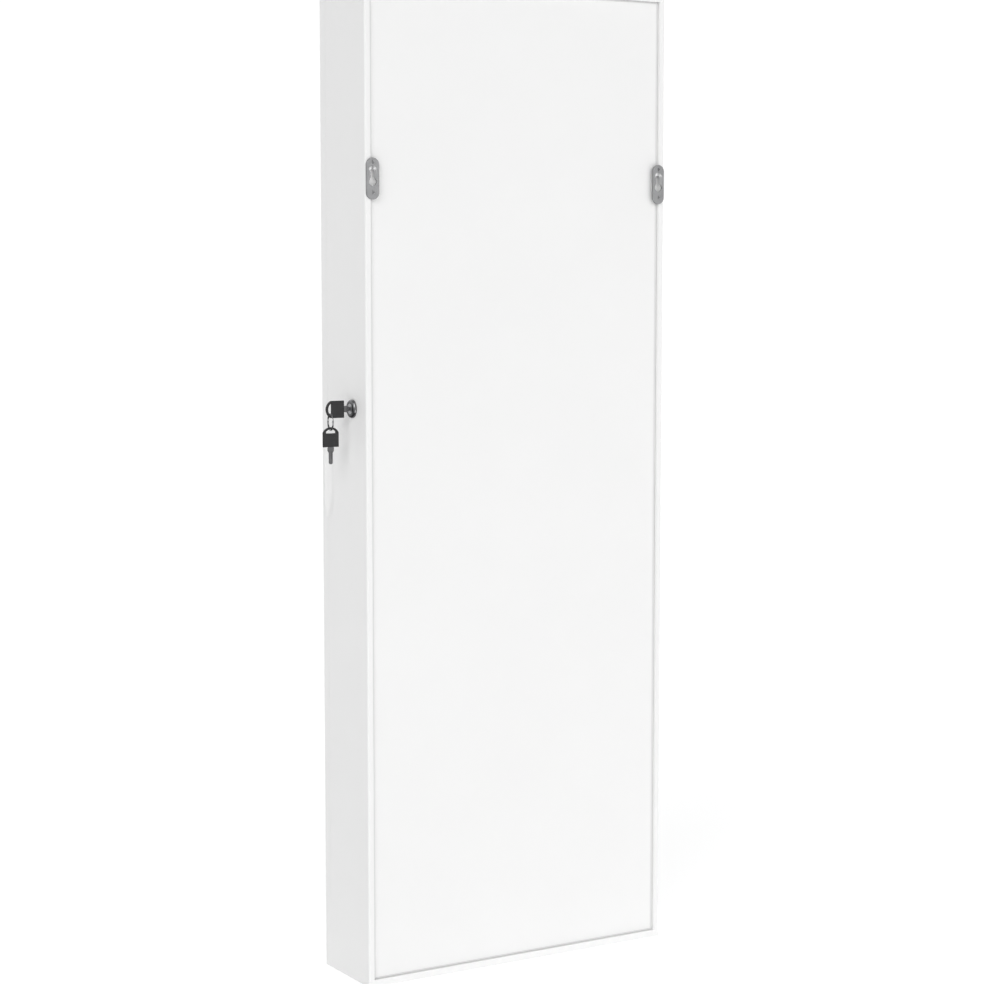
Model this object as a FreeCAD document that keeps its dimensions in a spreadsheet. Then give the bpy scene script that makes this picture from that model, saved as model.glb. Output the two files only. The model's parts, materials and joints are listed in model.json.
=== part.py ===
import FreeCAD, Part
import math
import os
import Sketcher
from FreeCAD import Vector, Rotation, Placement

# Wall-hung jewellery cabinet with a framed mirror door.
# Frame: +X to the right when the door is faced, -Y out of the door's front,
# +Z up. Origin at the centre of the underside. All lengths in millimetres.

doc = FreeCAD.newDocument("JewelleryMirrorCabinet")
sheet = doc.addObject("Spreadsheet::Sheet", "Sizes")


class Dim:
    """A size with both its number and the expression that gives it."""

    def __init__(self, text, value):
        self.text = text
        self.value = float(value)

    def __add__(self, other):
        other = as_dim(other)
        return Dim("(%s + %s)" % (self.text, other.text), self.value + other.value)

    def __radd__(self, other):
        return as_dim(other) + self

    def __sub__(self, other):
        other = as_dim(other)
        return Dim("(%s - %s)" % (self.text, other.text), self.value - other.value)

    def __rsub__(self, other):
        return as_dim(other) - self

    def __mul__(self, other):
        other = as_dim(other)
        return Dim("(%s * %s)" % (self.text, other.text), self.value * other.value)

    def __rmul__(self, other):
        return as_dim(other) * self

    def __truediv__(self, other):
        other = as_dim(other)
        return Dim("(%s / %s)" % (self.text, other.text), self.value / other.value)

    def __neg__(self):
        return Dim("(0 - %s)" % self.text, -self.value)


def as_dim(value):
    if isinstance(value, Dim):
        return value
    if value < 0:
        return Dim("(0 - %.6g)" % -value, value)
    return Dim("%.6g" % value, value)


class Sizes:
    pass


S = Sizes()

TABLE = [
    # outer case
    ("cab_width", 375, "outer width"),
    ("cab_depth", 100, "outer depth, door face to rear rim"),
    ("cab_height", 1060, "outer height"),
    ("board_thk", 12, "case board thickness"),
    ("door_thk", 12, "door frame thickness"),
    ("seam_gap", 0.2, "gap between door and case"),
    ("rim_side", 6.4, "rear rim seen beside the back panel"),
    ("rim_end", 7.4, "rear rim seen above and below the back panel"),
    ("back_thk", 3, "back panel thickness"),
    ("back_recess", 3.5, "back panel set in from the rear rim"),
    ("back_play", 0.25, "play round the back panel"),
    ("edge_round", 2, "rounding of the rear outer edges"),
    ("lining_thk", 1.5, "velvet lining board"),
    ("dowel_rad", 3, "joint dowel radius"),
    # hangers
    ("hanger_inset", 8.25, "hanger centre line in from the side edge"),
    ("hanger_mid_z", 853.5, "height of the hanger plate's middle"),
    ("hanger_wide", 15, "hanger plate width"),
    ("hanger_tall", 43, "hanger plate height"),
    ("hanger_thk", 1.6, "hanger plate thickness"),
    ("keyhole_rad", 4.3, "round part of the keyhole"),
    ("keyhole_drop", 24.8, "plate top to round part centre"),
    ("keyslot_rad", 2, "half width of the narrow slot"),
    ("keyslot_drop", 13.6, "plate top to narrow slot's end centre"),
    ("dish_rad", 4.9, "half width of the dish round the slot"),
    ("dish_deep", 1.2, "depth of the dish"),
    ("head_room", 3.5, "depth of the pocket behind the keyhole"),
    # finger pull
    ("pull_mid_z", 538, "height of the finger pull's middle"),
    ("pull_mill", 176, "radius the finger pull's floor follows up and down"),
    ("pull_front", 7.5, "width of the finger pull in the door edge"),
    ("pull_rear", 16, "width of the finger pull in the case side"),
    ("pull_deep", 6, "depth of the finger pull"),
    # lock
    ("lock_y", 19.5, "lock axis, front to back"),
    ("lock_z", 615, "lock axis height"),
    ("rosette_rad", 9.7, "rosette radius"),
    ("rosette_thk", 3.6, "rosette thickness"),
    ("barrel_rad", 8, "lock barrel radius"),
    ("barrel_long", 26.5, "barrel length behind the rosette"),
    ("plug_rad", 5.5, "plug radius"),
    ("cam_thk", 2, "cam thickness"),
    ("cam_reach", 38, "cam length from the lock axis"),
    ("cam_wide", 10, "cam arm width"),
    # key
    ("key_out", 10.5, "side face to key head"),
    ("head_half", 9, "half width of the key head"),
    ("head_mid", 10.8, "key head base to end arc centre"),
    ("head_arc", 10, "end arc radius of the key head"),
    ("head_thk", 3, "key head thickness"),
    ("head_slot_in", 14.3, "key head base to slot's flat side"),
    ("head_slot_half", 6, "half length of the slot"),
    ("head_slot_arc", 8, "outer arc radius of the slot"),
    ("blade_thk", 1.8, "key blade thickness"),
    ("blade_half", 1.95, "half width of the key blade"),
    ("blade_long", 11.8, "key blade length"),
    ("neck_half", 3.4, "half width of the key's neck"),
    ("neck_long", 6.2, "neck length"),
    ("ring_in", 7.8, "key ring inner radius"),
    ("ring_out", 9.1, "key ring outer radius"),
    ("ring_wide", 1.6, "key ring width"),
    ("ring_turn", 9.2, "key ring turned about the upright, degrees"),
    ("ring_lift", 2.3, "head bar centre to the ring's inside top"),
    ("spare_gap", 0.45, "spare key bar above the ring wire"),
    # door
    ("stile_wide", 34, "door frame face width"),
    ("lip_thk", 3, "front lip over the mirror edge"),
    ("lip_over", 7, "depth of the frame rebate"),
    ("mirror_thk", 3, "mirror glass thickness"),
    ("mirror_play", 0.3, "play round the mirror"),
    # hinges
    ("leaf_thk", 1.2, "hinge leaf thickness"),
    ("leaf_tall", 50, "hinge leaf height"),
    ("knuckle_rad", 2.6, "hinge knuckle radius"),
    ("hinge_out", 2.9, "hinge axis out from the side face"),
    ("pin_rad", 1.25, "hinge pin radius"),
    ("hinge_low_z", 120, "lowest hinge"),
    ("hinge_mid_z", 530, "middle hinge"),
    ("hinge_high_z", 940, "highest hinge"),
    # inside
    ("shelf_thk", 8, "shelf thickness"),
    ("shelf_upper_z", 690, "underside of the upper shelf"),
    ("shelf_middle_z", 420, "underside of the middle shelf"),
    ("shelf_lower_z", 240, "underside of the lower shelf"),
    ("rail_rad", 2, "guard rail radius"),
    ("rail_up", 22, "guard rail above its shelf"),
    ("rail_y", -30, "guard rail, front to back"),
    ("bar_z", 535, "bracelet bar height"),
    ("bar_y", 4, "bracelet bar, front to back"),
    ("bar_rad", 7, "bracelet bar core radius"),
    ("sleeve_rad", 15, "bracelet sleeve radius"),
    ("sleeve_half", 148, "half length of the bracelet sleeve"),
    ("hook_rad", 1.3, "necklace hook wire radius"),
    ("hook_pitch", 26, "necklace hook spacing"),
]

for row, (alias, value, note) in enumerate(TABLE, start=1):
    sheet.set("A%d" % row, note)
    sheet.set("B%d" % row, "%.6g" % value)
    sheet.setAlias("B%d" % row, alias)
    setattr(S, alias, Dim("Sizes.%s" % alias, value))
doc.recompute()

# Planes that many pieces share
HW = S.cab_width / 2                       # outer side faces at +-HW
YB = S.cab_depth / 2                       # rear rim
YF = -(S.cab_depth / 2)                    # door face
DOOR_BACK = YF + S.door_thk
CASE_FRONT = DOOR_BACK + S.seam_gap
XI = HW - S.board_thk                      # inner side faces at +-XI
TOP = S.cab_height
BACK_OUT = YB - S.back_recess
BACK_IN = BACK_OUT - S.back_thk
LINING_IN = BACK_IN - S.lining_thk

TURN = {
    "+z": Rotation(),
    "-z": Rotation(Vector(1, 0, 0), 180),
    "+x": Rotation(Vector(0, 1, 0), 90),
    "-x": Rotation(Vector(0, 1, 0), -90),
    "+y": Rotation(Vector(1, 0, 0), -90),
    "-y": Rotation(Vector(1, 0, 0), 90),
}
STEP = {"+x": (1, 0, 0), "-x": (-1, 0, 0), "+y": (0, 1, 0), "-y": (0, -1, 0), "+z": (0, 0, 1), "-z": (0, 0, -1)}

nodes = []


def bind(obj, prop, dim):
    obj.setExpression(prop, as_dim(dim).text)


def put(obj, x, y, z, rotation=None):
    if rotation is not None:
        obj.Placement = Placement(Vector(0, 0, 0), rotation)
    bind(obj, "Placement.Base.x", x)
    bind(obj, "Placement.Base.y", y)
    bind(obj, "Placement.Base.z", z)


def span(a, b):
    a, b = as_dim(a), as_dim(b)
    return (a, b) if a.value < b.value else (b, a)


def box(name, x, y, z):
    obj = doc.addObject("Part::Box", name)
    (xa, xb), (ya, yb), (za, zb) = span(*x), span(*y), span(*z)
    bind(obj, "Length", xb - xa)
    bind(obj, "Width", yb - ya)
    bind(obj, "Height", zb - za)
    put(obj, xa, ya, za)
    return obj


def rod(name, radius, length, base, way):
    obj = doc.addObject("Part::Cylinder", name)
    bind(obj, "Radius", radius)
    bind(obj, "Height", length)
    put(obj, base[0], base[1], base[2], TURN[way])
    return obj


def cone(name, r_start, r_end, length, base, way):
    obj = doc.addObject("Part::Cone", name)
    bind(obj, "Radius1", r_start)
    bind(obj, "Radius2", r_end)
    bind(obj, "Height", length)
    put(obj, base[0], base[1], base[2], TURN[way])
    return obj


def fuse(name, pieces):
    obj = doc.addObject("Part::MultiFuse", name)
    obj.Shapes = pieces
    return obj


def bundle(name, pieces):
    obj = doc.addObject("Part::Compound", name)
    obj.Links = pieces
    return obj


def cut(name, base, tools):
    obj = doc.addObject("Part::Cut", name)
    obj.Base = base
    obj.Tool = tools[0] if len(tools) == 1 else bundle(name + "_tools", tools)
    return obj


def node(obj, label):
    obj.Label = label
    nodes.append(obj)
    return obj


def along(base, way, distance):
    step = STEP[way]
    return tuple(as_dim(b) + as_dim(distance) * s if s else as_dim(b) for b, s in zip(base, step))


def screw(name, head, way, head_rad, head_long, shank_rad, length, recess=False):
    """Countersunk screw: its head's outer face at head, its point along way."""
    top = cone(name + "_head", head_rad, shank_rad, head_long, head, way)
    shank = rod(name + "_shank", shank_rad, as_dim(length) - head_long, along(head, way, head_long), way)
    solid = fuse(name + "_solid", [top, shank])
    if not recess:
        return solid
    arms = []
    for k, (w, t) in enumerate(((1.7, 0.5), (0.5, 1.7))):
        arms.append(box(name + "_recess%d" % k,
                        (as_dim(head[0]) - w, as_dim(head[0]) + w),
                        (as_dim(head[1]) - 0.9, as_dim(head[1]) + 1),
                        (as_dim(head[2]) - t, as_dim(head[2]) + t)))
    return cut(name + "_slotted", solid, [fuse(name + "_cross", arms)])


def sink(name, head, way, head_rad, head_long, shank_rad, length):
    """The space a countersunk screw takes, a little larger all round."""
    play = 0.03
    lead = rod(name + "_lead", as_dim(head_rad) + play, 1, along(head, way, -1), way)
    top = cone(name + "_cone", as_dim(head_rad) + play, as_dim(shank_rad) + play, head_long, head, way)
    shank = rod(name + "_bore", as_dim(shank_rad) + play, as_dim(length) - head_long + 0.3,
                along(head, way, head_long), way)
    return fuse(name + "_space", [lead, top, shank])


# ---------------------------------------------------------------- sketches
def origin_plane(body, role):
    for feature in body.Origin.OriginFeatures:
        if feature.Role == role:
            return feature
    raise RuntimeError("no plane " + role)


def sketch_on(body, name, role, offset=None):
    sk = body.newObject("Sketcher::SketchObject", name)
    sk.AttachmentSupport = [(origin_plane(body, role), "")]
    sk.MapMode = "FlatFace"
    if offset is not None:
        bind(sk, "AttachmentOffset.Base.z", offset)
    return sk


def hold(sk, kind, geo, pos, dim, label):
    """One bound distance of a sketch point from the sketch's origin."""
    dim = as_dim(dim)
    if abs(dim.value) < 1e-9:
        sk.addConstraint(Sketcher.Constraint("PointOnObject", geo, pos, -2 if kind == "DistanceX" else -1))
        return
    index = sk.addConstraint(Sketcher.Constraint(kind, -1, 1, geo, pos, dim.value))
    sk.renameConstraint(index, label)
    bind(sk, "Constraints." + label, dim)


def outline(sk, corners, tag="p"):
    """Closed outline. A corner is (x, y), or (x, y, "arc", cx, cy, turn) where the edge
    to the next corner is an arc about (cx, cy), anticlockwise when turn is 1."""
    count = len(corners)
    ends = []
    for i, corner in enumerate(corners):
        after = corners[(i + 1) % count]
        p = Vector(as_dim(corner[0]).value, as_dim(corner[1]).value, 0)
        q = Vector(as_dim(after[0]).value, as_dim(after[1]).value, 0)
        if len(corner) == 2:
            geo = sk.addGeometry(Part.LineSegment(p, q), False)
            ends.append((geo, 1, 2))
        else:
            c = Vector(as_dim(corner[3]).value, as_dim(corner[4]).value, 0)
            radius = (p - c).Length
            a0 = math.atan2(p.y - c.y, p.x - c.x)
            a1 = math.atan2(q.y - c.y, q.x - c.x)
            if corner[5] == 1:
                if a1 <= a0:
                    a1 += 2 * math.pi
                arc = Part.ArcOfCircle(Part.Circle(c, Vector(0, 0, 1), radius), a0, a1)
                geo = sk.addGeometry(arc, False)
                ends.append((geo, 1, 2))
            else:
                if a0 <= a1:
                    a0 += 2 * math.pi
                arc = Part.ArcOfCircle(Part.Circle(c, Vector(0, 0, 1), radius), a1, a0)
                geo = sk.addGeometry(arc, False)
                ends.append((geo, 2, 1))
    for i in range(count):
        geo, start, end = ends[i]
        nxt, nstart, nend = ends[(i + 1) % count]
        sk.addConstraint(Sketcher.Constraint("Coincident", geo, end, nxt, nstart))
    for i, corner in enumerate(corners):
        geo, start, end = ends[i]
        hold(sk, "DistanceX", geo, start, corner[0], "%sx%d" % (tag, i))
        hold(sk, "DistanceY", geo, start, corner[1], "%sy%d" % (tag, i))
        if len(corner) > 2:
            after = corners[(i + 1) % count]
            dx = as_dim(after[0]).value - as_dim(corner[0]).value
            dy = as_dim(after[1]).value - as_dim(corner[1]).value
            if abs(dx) > abs(dy):
                hold(sk, "DistanceY", geo, 3, corner[4], "%scy%d" % (tag, i))
            else:
                hold(sk, "DistanceX", geo, 3, corner[3], "%scx%d" % (tag, i))


def circle(sk, x, y, radius, tag="c"):
    x, y, radius = as_dim(x), as_dim(y), as_dim(radius)
    geo = sk.addGeometry(Part.Circle(Vector(x.value, y.value, 0), Vector(0, 0, 1), radius.value), False)
    hold(sk, "DistanceX", geo, 3, x, tag + "x")
    hold(sk, "DistanceY", geo, 3, y, tag + "y")
    index = sk.addConstraint(Sketcher.Constraint("Radius", geo, radius.value))
    sk.renameConstraint(index, tag + "r")
    bind(sk, "Constraints.%sr" % tag, radius)


def pad(body, sk, length, name, midplane=False, backwards=False):
    feature = body.newObject("PartDesign::Pad", name)
    feature.Profile = sk
    bind(feature, "Length", length)
    if midplane:
        feature.SideType = "Symmetric"
    feature.Reversed = backwards
    return feature


def pocket(body, sk, length, name, midplane=False, backwards=False):
    feature = body.newObject("PartDesign::Pocket", name)
    feature.Profile = sk
    bind(feature, "Length", length)
    if midplane:
        feature.SideType = "Symmetric"
    feature.Reversed = backwards
    return feature


def revolve(body, sk, axis, name):
    feature = body.newObject("PartDesign::Revolution", name)
    feature.Profile = sk
    feature.ReferenceAxis = (sk, [axis])
    feature.Angle = 360
    return feature


def new_body(name, x, y, z, rotation=None):
    body = doc.addObject("PartDesign::Body", name)
    put(body, x, y, z, rotation)
    return body


# spaces to be cut out of each board, collected piece by piece
spaces = {key: [] for key in ("left", "right", "top", "bottom", "back", "stile_left", "stile_right",
                              "rail_top", "rail_bottom")}
SIDES = (("left", -1), ("right", 1))

# ---------------------------------------------------------------- case boards
for side, sgn in SIDES:
    # rear rebate, leaving the rim and stopping short of both ends
    spaces[side].append(box("side_rebate_" + side,
                            (sgn * (XI - 1), sgn * (HW - S.rim_side)),
                            (BACK_IN, YB + 1), (S.rim_end, TOP - S.rim_end)))
spaces["bottom"].append(box("bottom_rebate", (-XI - 1, XI + 1), (BACK_IN, YB + 1), (S.rim_end, S.board_thk + 1)))
spaces["top"].append(box("top_rebate", (-XI - 1, XI + 1), (BACK_IN, YB + 1),
                         (TOP - S.board_thk - 1, TOP - S.rim_end)))

# dowels that join the sides to the ends
case_dowels = []
for side, sgn in SIDES:
    way = "+x" if sgn > 0 else "-x"
    for end, z in (("bottom", S.board_thk / 2), ("top", TOP - S.board_thk / 2)):
        for k, y in enumerate((-15, 25)):
            tag = "dowel_%s_%s_%d" % (side, end, k)
            start = (sgn * (XI - 16), y, z)
            case_dowels.append(rod(tag, S.dowel_rad, 24, start, way))
            hole = rod(tag + "_hole", S.dowel_rad + 0.02, 24.4, (sgn * (XI - 16.2), y, z), way)
            spaces[side].append(hole)
            spaces[end].append(hole)
node(bundle("case_dowels", case_dowels), "case_dowels")

# ---------------------------------------------------------------- hanger plates
HANG_X = HW - S.hanger_inset
PLATE_TOP = S.hanger_mid_z + S.hanger_tall / 2
SLOT_Z = PLATE_TOP - S.keyslot_drop
HOLE_Z = PLATE_TOP - S.keyhole_drop
HOLE_DZ = -(S.keyhole_drop - S.keyslot_drop)          # round part below the slot's end
SCREW_DROPS = (5, 35.6)
hanger_screws = []
for side, sgn in SIDES:
    name = "hanger_plate_" + side
    # local origin: end centre of the narrow slot, on the face towards the case
    body = new_body(name + "_body", sgn * HANG_X, YB, SLOT_Z)
    half = S.hanger_wide / 2
    up = S.keyslot_drop - half                         # end arc centre of the plate
    down = S.keyslot_drop - S.hanger_tall + half
    sk = sketch_on(body, name + "_outline", "XZ_Plane")
    outline(sk, [(half, down), (half, up, "arc", 0, up, 1), (-half, up), (-half, down, "arc", 0, down, 1)])
    pad(body, sk, S.hanger_thk, name + "_pad", backwards=True)
    sk = sketch_on(body, name + "_keyhole", "XZ_Plane")
    join = as_dim(math.sqrt(4.3 ** 2 - 2 ** 2))        # slot meets the round part this far above it
    r = S.keyslot_rad
    outline(sk, [(r, HOLE_DZ + join), (r, 0, "arc", 0, 0, 1), (-r, 0),
                 (-r, HOLE_DZ + join, "arc", 0, HOLE_DZ, 1)])
    pocket(body, sk, 10, name + "_keyhole_cut", midplane=True)
    cutters = []
    # dish that takes the head of the wall screw: a cone at the slot's end and a trough below it
    cutters.append(cone(name + "_dish_end", S.keyslot_rad, S.dish_rad, S.dish_deep,
                        (sgn * HANG_X, YB + S.hanger_thk - S.dish_deep, SLOT_Z), "+y"))
    trough = new_body(name + "_trough", sgn * HANG_X, YB + S.hanger_thk - S.dish_deep, SLOT_Z)
    sk = sketch_on(trough, name + "_trough_outline", "XY_Plane")
    outline(sk, [(-S.keyslot_rad, 0), (S.keyslot_rad, 0), (S.dish_rad, S.dish_deep), (-S.dish_rad, S.dish_deep)])
    pad(trough, sk, S.keyhole_drop - S.keyslot_drop - 2.4, name + "_trough_pad", backwards=True)
    cutters.append(trough)
    for k, drop in enumerate(SCREW_DROPS):
        tag = "hanger_screw_%s_%d" % (side, k)
        head = (sgn * HANG_X, YB + S.hanger_thk - 0.1, PLATE_TOP - drop)
        hanger_screws.append(screw(tag, head, "-y", 3.1, 1.5, 1.6, 16, recess=True))
        hole = sink(tag, head, "-y", 3.1, 1.5, 1.6, 16)
        cutters.append(hole)
        spaces[side].append(hole)
        spaces["back"].append(hole)
    node(cut(name, body, cutters), name)
    # shallow pocket in the rim, level with the back panel, for the head of the wall screw
    spaces[side].append(box(name + "_pocket_side", (sgn * (HANG_X - 5.2), sgn * (HANG_X + 5.2)),
                            (YB - S.head_room, YB + 1), (HOLE_Z - 5, SLOT_Z + 4)))
node(bundle("hanger_screws", hanger_screws), "hanger_screws")

# ---------------------------------------------------------------- finger pull
# lens-shaped recess: a rounded groove, steep towards the door's front and gentle behind the
# seam, whose floor follows a large circle so that it runs out in a point at both ends
scoop = new_body("finger_pull_space", HW - S.pull_deep + S.pull_mill, DOOR_BACK + S.seam_gap / 2, S.pull_mid_z)
sk = sketch_on(scoop, "finger_pull_profile", "XY_Plane")
floor_x = -S.pull_mill
face_x = floor_x + S.pull_deep
steep = (S.pull_front * S.pull_front + S.pull_deep * S.pull_deep) / (2 * S.pull_deep)
gentle = (S.pull_rear * S.pull_rear + S.pull_deep * S.pull_deep) / (2 * S.pull_deep)
outline(sk, [(face_x, -S.pull_front, "arc", floor_x + steep, 0, 0), (floor_x, 0, "arc", floor_x + gentle, 0, 0),
             (face_x, S.pull_rear), (face_x + 60, S.pull_rear), (face_x + 60, -S.pull_front)])
revolve(scoop, sk, "V_Axis", "finger_pull_turned")
spaces["right"].append(scoop)
spaces["stile_right"].append(scoop)

# ---------------------------------------------------------------- hinges
AXIS_X = -HW - S.hinge_out
AXIS_Y = DOOR_BACK + S.seam_gap / 2
hinge_pins, screws_case, screws_door = [], [], []
for where, mid in (("top", S.hinge_high_z), ("middle", S.hinge_mid_z), ("bottom", S.hinge_low_z)):
    low = mid - S.leaf_tall / 2
    pin = rod("hinge_pin_%s_rod" % where, S.pin_rad, S.leaf_tall + 0.4, (AXIS_X, AXIS_Y, low - 0.2), "+z")
    cap_low = rod("hinge_pin_%s_foot" % where, 2.1, 1, (AXIS_X, AXIS_Y, low - 1.15), "+z")
    cap_high = rod("hinge_pin_%s_cap" % where, 2.1, 1, (AXIS_X, AXIS_Y, low + S.leaf_tall + 0.15), "+z")
    hinge_pins.append(fuse("hinge_pin_" + where, [pin, cap_low, cap_high]))
    for part_of, front, way, own in (("case", CASE_FRONT, "+y", (0, 2, 4)), ("door", DOOR_BACK, "-y", (1, 3))):
        name = "hinge_leaf_%s_%s" % (part_of, where)
        y_far = along((0, front, 0), way, S.leaf_thk)[1]
        pieces = [box(name + "_plate", (-HW + 0.2, -XI - 1.5), (front, y_far), (low, low + S.leaf_tall))]
        for k in own:
            z0 = low + k * 10 + (0.1 if k else 0)
            z1 = low + k * 10 + (9.9 if k < 4 else 10)
            pieces.append(rod("%s_knuckle%d" % (name, k), S.knuckle_rad, z1 - z0, (AXIS_X, AXIS_Y, z0), "+z"))
            pieces.append(box("%s_tab%d" % (name, k), (AXIS_X, -HW + 0.4), (front, y_far), (z0, z1)))
        tools = [rod(name + "_bore", S.pin_rad + 0.04, S.leaf_tall + 2, (AXIS_X, AXIS_Y, low - 1), "+z")]
        for k, dz in enumerate((-15, 15)):
            tag = "hinge_screw_%s_%s_%d" % (part_of, where, k)
            head = (-HW + 6, front, mid + dz)
            long = 13 if part_of == "case" else 9
            (screws_case if part_of == "case" else screws_door).append(
                screw(tag, head, way, 2.5, 1.2, 1.3, long))
            hole = sink(tag, head, way, 2.5, 1.2, 1.3, long)
            tools.append(hole)
            spaces["left" if part_of == "case" else "stile_left"].append(hole)
        node(cut(name, fuse(name + "_solid", pieces), tools), name)
        before = along((0, front, 0), way, -1)[1]
        behind = along((0, front, 0), way, S.leaf_thk + 0.05)[1]
        spaces["left" if part_of == "case" else "stile_left"].append(
            box(name + "_mortise", (-HW - 1, -XI - 1.3), (before, behind), (low - 0.15, low + S.leaf_tall + 0.15)))
node(bundle("hinge_pins", hinge_pins), "hinge_pins")
node(bundle("hinge_screws_case", screws_case), "hinge_screws_case")
node(bundle("hinge_screws_door", screws_door), "hinge_screws_door")

# ---------------------------------------------------------------- lock
# local origin of the turned pieces: lock axis at the outer side face, +X outwards
housing = new_body("lock_housing", HW, S.lock_y, S.lock_z)
sk = sketch_on(housing, "lock_housing_profile", "XY_Plane")
bore = S.plug_rad + 0.05
dome = 2.7
outline(sk, [(-S.barrel_long, bore), (S.rosette_thk, bore), (S.rosette_thk, S.rosette_rad - dome, "arc",
             S.rosette_thk - dome, S.rosette_rad - dome, 1), (S.rosette_thk - dome, S.rosette_rad),
             (0, S.rosette_rad), (0, S.barrel_rad), (-S.barrel_long, S.barrel_rad)])
revolve(housing, sk, "H_Axis", "lock_housing_turned")
node(housing, "lock_housing")
spaces["right"].append(rod("lock_hole", S.barrel_rad + 0.1, S.board_thk + 4, (XI - 2, S.lock_y, S.lock_z), "+x"))

nut = new_body("lock_nut", XI - 4.1, S.lock_y, S.lock_z)
sk = sketch_on(nut, "lock_nut_outline", "YZ_Plane")
flat = 11.0
outline(sk, [(flat * math.cos(math.radians(a)) / math.cos(math.pi / 6), flat * math.sin(math.radians(a)) / math.cos(math.pi / 6))
             for a in (30, 90, 150, 210, 270, 330)])
circle(sk, 0, 0, S.barrel_rad + 0.03)
pad(nut, sk, 4, "lock_nut_pad")
node(nut, "lock_nut")

plug_back = HW - S.barrel_long - 0.5
plug_front = HW + S.rosette_thk - 0.2
plug = rod("lock_plug_barrel", S.plug_rad, plug_front - plug_back, (plug_back, S.lock_y, S.lock_z), "+x")
tail = box("lock_plug_tail", (plug_back - 2.4, plug_back + 0.5), (S.lock_y - 3, S.lock_y + 3), (S.lock_z - 3, S.lock_z + 3))
keyway = box("lock_plug_keyway", (plug_front - 13.5, plug_front + 1),
             (S.lock_y - S.blade_thk / 2 - 0.1, S.lock_y + S.blade_thk / 2 + 0.1),
             (S.lock_z - S.blade_half - 0.1, S.lock_z + S.blade_half + 0.1))
tapped = rod("lock_plug_tapped", 2.03, 12, (plug_back - 3, S.lock_y, S.lock_z), "+x")
node(cut("lock_plug", fuse("lock_plug_solid", [plug, tail]), [keyway, tapped]), "lock_plug")

# cam: hangs down when unlocked, its hook towards the door
cam = new_body("lock_cam_body", plug_back - 0.2, S.lock_y, S.lock_z)
sk = sketch_on(cam, "lock_cam_outline", "YZ_Plane")
arm = S.cam_wide / 2
outline(sk, [(arm, 2), (arm, -S.cam_reach), (-12, -S.cam_reach), (-12, -S.cam_reach + 6), (-arm, -S.cam_reach + 6),
             (-arm, 2, "arc", 0, 2, 0)])
pad(cam, sk, S.cam_thk, "lock_cam_pad", backwards=True)
sk = sketch_on(cam, "lock_cam_square", "YZ_Plane")
outline(sk, [(-3.03, -3.03), (3.03, -3.03), (3.03, 3.03), (-3.03, 3.03)])
pocket(cam, sk, 10, "lock_cam_hole", midplane=True)
node(cam, "lock_cam")
shaft = rod("cam_screw_shank", 2, 11.2, (plug_back - 2.45, S.lock_y, S.lock_z), "+x")
cap = rod("cam_screw_cap", 4.2, 2.4, (plug_back - 4.85, S.lock_y, S.lock_z), "+x")
drive = box("cam_screw_slot", (plug_back - 6, plug_back - 3.9), (S.lock_y - 5, S.lock_y + 5), (S.lock_z - 0.5, S.lock_z + 0.5))
node(cut("cam_screw", fuse("cam_screw_solid", [shaft, cap]), [drive]), "cam_screw")

# strike on the door: a plate on the stile with a tongue that the cam's hook enters
TONGUE_Z = S.lock_z + S.cam_wide / 2 + 1.2
strike = new_body("strike_bracket_body", 152.5, DOOR_BACK, TONGUE_Z)
sk = sketch_on(strike, "strike_profile", "YZ_Plane")
outline(sk, [(0, 0), (31.7, 0), (31.7, 1.5), (1.5, 1.5), (1.5, 22), (0, 22)])
pad(strike, sk, 18.5, "strike_pad")
sk = sketch_on(strike, "strike_notch", "XY_Plane")
outline(sk, [(14.5, 3), (19.5, 3), (19.5, 33), (14.5, 33)])
pocket(strike, sk, 3, "strike_notch_cut", midplane=True)
strike_window = box("strike_window", (155.6, 163), (S.lock_y - S.cam_reach - 2.7, S.lock_y - S.cam_reach + 6.8),
                    (TONGUE_Z - 1, TONGUE_Z + 3))
strike_tools, strike_screws = [strike_window], []
for k, up in enumerate((7, 16.5)):
    head = (166, DOOR_BACK + 1.5, TONGUE_Z + up)
    strike_screws.append(screw("strike_screw_%d" % k, head, "-y", 2.6, 1.4, 1.4, 9.5))
    hole = sink("strike_screw_%d" % k, head, "-y", 2.6, 1.4, 1.4, 9.5)
    strike_tools.append(hole)
    spaces["stile_right"].append(hole)
node(cut("strike_bracket", strike, strike_tools), "strike_bracket")
node(bundle("strike_screws", strike_screws), "strike_screws")

# ---------------------------------------------------------------- keys
KEY_X = HW + S.key_out


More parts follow.
